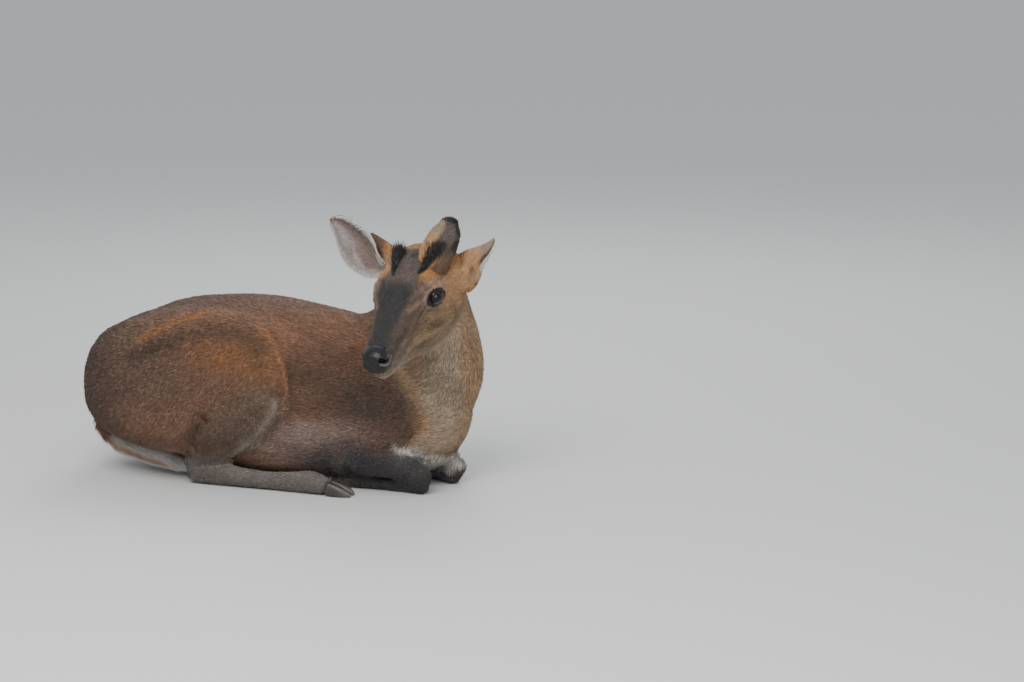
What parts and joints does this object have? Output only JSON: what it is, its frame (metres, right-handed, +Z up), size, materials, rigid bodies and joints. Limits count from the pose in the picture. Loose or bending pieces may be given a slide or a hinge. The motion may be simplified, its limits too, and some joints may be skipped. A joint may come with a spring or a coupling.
{
  "type": "muntjac",
  "caption": "Small deer lying on folded legs with its head turned back to its right, life size and still, resting on its belly and legs.",
  "frame": {"origin": "centre of the underside of the whole, on the floor", "axes": "+X towards the breast, along the body; +Y to the animal's left; +Z up"},
  "size_m": [0.6868, 0.376, 0.4145],
  "materials": {
    "face_coat": "short dark fur",
    "nose_skin": "moist, pebbled",
    "eye": "wet gloss",
    "ear_coat": "thin short fur",
    "pedicle_coat": "velvet",
    "neck_coat": "short fur",
    "body_coat": "short glossy fur",
    "tail_coat": "long soft hair",
    "leg_coat": "short fur",
    "hoof_horn": "worn horn"
  },
  "bodies": {
    "root": {"head": "face_coat", "nose_pad": "nose_skin", "eye_left": "eye", "eye_right": "eye", "ear_left": "ear_coat", "ear_right": "ear_coat", "pedicle_left": "pedicle_coat", "pedicle_right": "pedicle_coat", "neck": "neck_coat", "torso": "body_coat", "tail": "tail_coat", "thigh_left": "body_coat", "thigh_right": "body_coat", "shank_left": "leg_coat", "shank_right": "leg_coat", "hind_cannon_left": "leg_coat", "hind_cannon_right": "leg_coat", "upper_arm_left": "body_coat", "upper_arm_right": "body_coat", "forearm_left": "leg_coat", "forearm_right": "leg_coat", "fore_cannon_left": "leg_coat", "fore_cannon_right": "leg_coat", "hoof_hind_left_inner": "hoof_horn", "hoof_hind_left_outer": "hoof_horn", "hoof_hind_right_inner": "hoof_horn", "hoof_hind_right_outer": "hoof_horn", "hoof_fore_left_inner": "hoof_horn", "hoof_fore_left_outer": "hoof_horn", "hoof_fore_right_inner": "hoof_horn", "hoof_fore_right_outer": "hoof_horn"}
  },
  "joints": []
}
